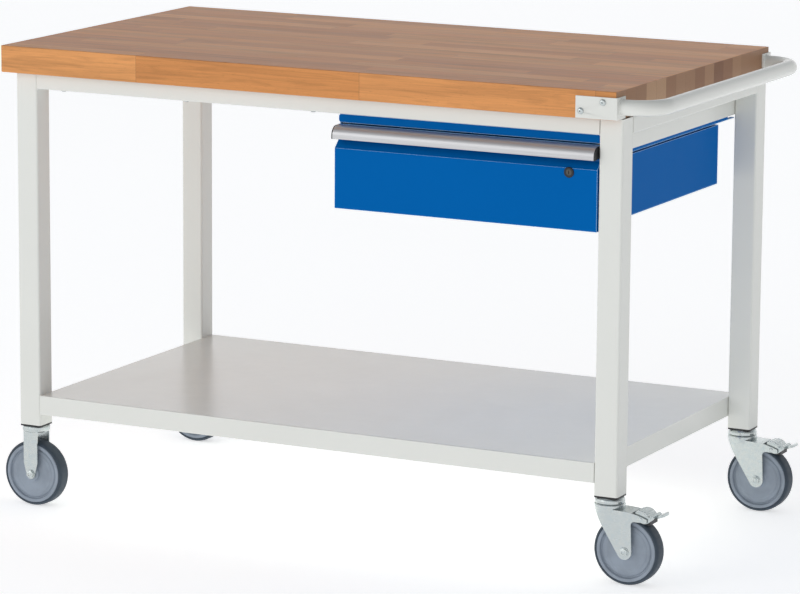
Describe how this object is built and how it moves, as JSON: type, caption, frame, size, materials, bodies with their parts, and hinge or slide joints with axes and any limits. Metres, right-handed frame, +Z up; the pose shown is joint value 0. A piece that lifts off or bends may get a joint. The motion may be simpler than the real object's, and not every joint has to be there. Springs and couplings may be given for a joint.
{
  "type": "mobile workbench with drawer",
  "caption": "Mobile workbench: beech top on a square-tube frame with shelf, hanging drawer, push handle, fixed and braked swivel castors.",
  "frame": {"origin": "bottom centre of the bench's bounding box, on the floor", "axes": "+X along the bench towards the push handle, -Y to the drawer front, +Z up"},
  "size_m": [1.3625, 0.713, 0.88],
  "materials": {
    "beech": "oiled glued staves",
    "frame_paint": "light grey powder coat, semi-gloss",
    "drawer_paint": "gentian blue powder coat",
    "zinc": "bright zinc plate",
    "lock_metal": "dark nickelled die casting",
    "anodised_aluminium": "satin anodised",
    "black_plastic": "moulded",
    "wheel_grey": "moulded polypropylene",
    "tread": "blue-grey non-marking rubber",
    "bearing_nylon": "plain nylon bush"
  },
  "bodies": {
    "root": {"worktop": "beech", "leg_front_left": "frame_paint", "leg_front_right": "frame_paint", "leg_rear_left": "frame_paint", "leg_rear_right": "frame_paint", "top_rail_front": "frame_paint", "top_rail_rear": "frame_paint", "top_rail_left": "frame_paint", "top_rail_right": "frame_paint", "drawer_carrier_left": "frame_paint", "drawer_carrier_right": "frame_paint", "lower_shelf": "frame_paint", "leg_inserts": "black_plastic", "worktop_screws": "zinc", "shelf_screws": "zinc", "drawer_hanger_screws": "zinc", "push_handle": "frame_paint", "handle_bracket_front": "frame_paint", "handle_bracket_rear": "frame_paint", "handle_bracket_screws": "zinc", "castor_fork_front_left": "zinc", "axle_bolt_front_left": "zinc", "castor_fork_rear_left": "zinc", "axle_bolt_rear_left": "zinc", "castor_head_front_right": "zinc", "castor_head_rear_right": "zinc", "drawer_hanger": "drawer_paint", "slide_outer_left": "zinc", "slide_outer_right": "zinc"},
    "slide_middles": {"slide_middle_left": "zinc", "slide_middle_right": "zinc"},
    "drawer": {"drawer_front": "drawer_paint", "drawer_box": "drawer_paint", "grip_profile": "anodised_aluminium", "grip_end_caps": "black_plastic", "lock_body": "black_plastic", "slide_inner_left": "zinc", "slide_inner_right": "zinc"},
    "lock": {"lock_cylinder": "lock_metal", "lock_cam": "lock_metal"},
    "swivel_front": {"castor_fork_front_right": "zinc", "castor_bolts_front_right": "zinc"},
    "pedal_front": {"brake_pedal_front_right": "zinc", "brake_shoe_front_right": "black_plastic"},
    "swivel_rear": {"castor_fork_rear_right": "zinc", "castor_bolts_rear_right": "zinc"},
    "pedal_rear": {"brake_pedal_rear_right": "zinc", "brake_shoe_rear_right": "black_plastic"},
    "wheel_front_left": {"wheel_tread_front_left": "tread", "wheel_disc_front_left": "wheel_grey", "wheel_bearing_front_left": "bearing_nylon"},
    "wheel_rear_left": {"wheel_tread_rear_left": "tread", "wheel_disc_rear_left": "wheel_grey", "wheel_bearing_rear_left": "bearing_nylon"},
    "wheel_front_right": {"wheel_tread_front_right": "tread", "wheel_disc_front_right": "wheel_grey", "wheel_bearing_front_right": "bearing_nylon"},
    "wheel_rear_right": {"wheel_tread_rear_right": "tread", "wheel_disc_rear_right": "wheel_grey", "wheel_bearing_rear_right": "bearing_nylon"}
  },
  "joints": [
    {"name": "drawer_slide", "type": "slide", "parent": "root", "child": "drawer", "axis": [0, -1, 0], "range_m": [0, 0.5]},
    {"name": "slide_middle_slide", "type": "slide", "parent": "root", "child": "slide_middles", "axis": [0, -1, 0], "range_m": [0, 0.25]},
    {"name": "lock_turn", "type": "hinge", "parent": "drawer", "child": "lock", "pos_m": [0.49275, -0.31, 0.7305], "axis": [0, 1, 0], "range_deg": [0, 90]},
    {"name": "swivel_front_turn", "type": "hinge", "parent": "root", "child": "swivel_front", "pos_m": [0.57125, -0.3075, 0.1455], "axis": [0, 0, 1], "continuous": true},
    {"name": "pedal_front_press", "type": "hinge", "parent": "swivel_front", "child": "pedal_front", "pos_m": [0.63923, -0.3075, 0.12398], "axis": [0, 1, 0], "range_deg": [0, 10]},
    {"name": "swivel_rear_turn", "type": "hinge", "parent": "root", "child": "swivel_rear", "pos_m": [0.57125, 0.3075, 0.1455], "axis": [0, 0, 1], "continuous": true},
    {"name": "pedal_rear_press", "type": "hinge", "parent": "swivel_rear", "child": "pedal_rear", "pos_m": [0.63923, 0.3075, 0.12398], "axis": [0, 1, 0], "range_deg": [0, 10]},
    {"name": "wheel_front_left_roll", "type": "hinge", "parent": "root", "child": "wheel_front_left", "pos_m": [-0.61875, -0.3075, 0.0625], "axis": [0, 1, 0], "continuous": true},
    {"name": "wheel_rear_left_roll", "type": "hinge", "parent": "root", "child": "wheel_rear_left", "pos_m": [-0.61875, 0.3075, 0.0625], "axis": [0, 1, 0], "continuous": true},
    {"name": "wheel_front_right_roll", "type": "hinge", "parent": "swivel_front", "child": "wheel_front_right", "pos_m": [0.60925, -0.3075, 0.0625], "axis": [0, 1, 0], "continuous": true},
    {"name": "wheel_rear_right_roll", "type": "hinge", "parent": "swivel_rear", "child": "wheel_rear_right", "pos_m": [0.60925, 0.3075, 0.0625], "axis": [0, 1, 0], "continuous": true}
  ],
  "couplings": [
    {"joint": "slide_middle_slide", "follows": "drawer_slide", "ratio": 0.5}
  ]
}
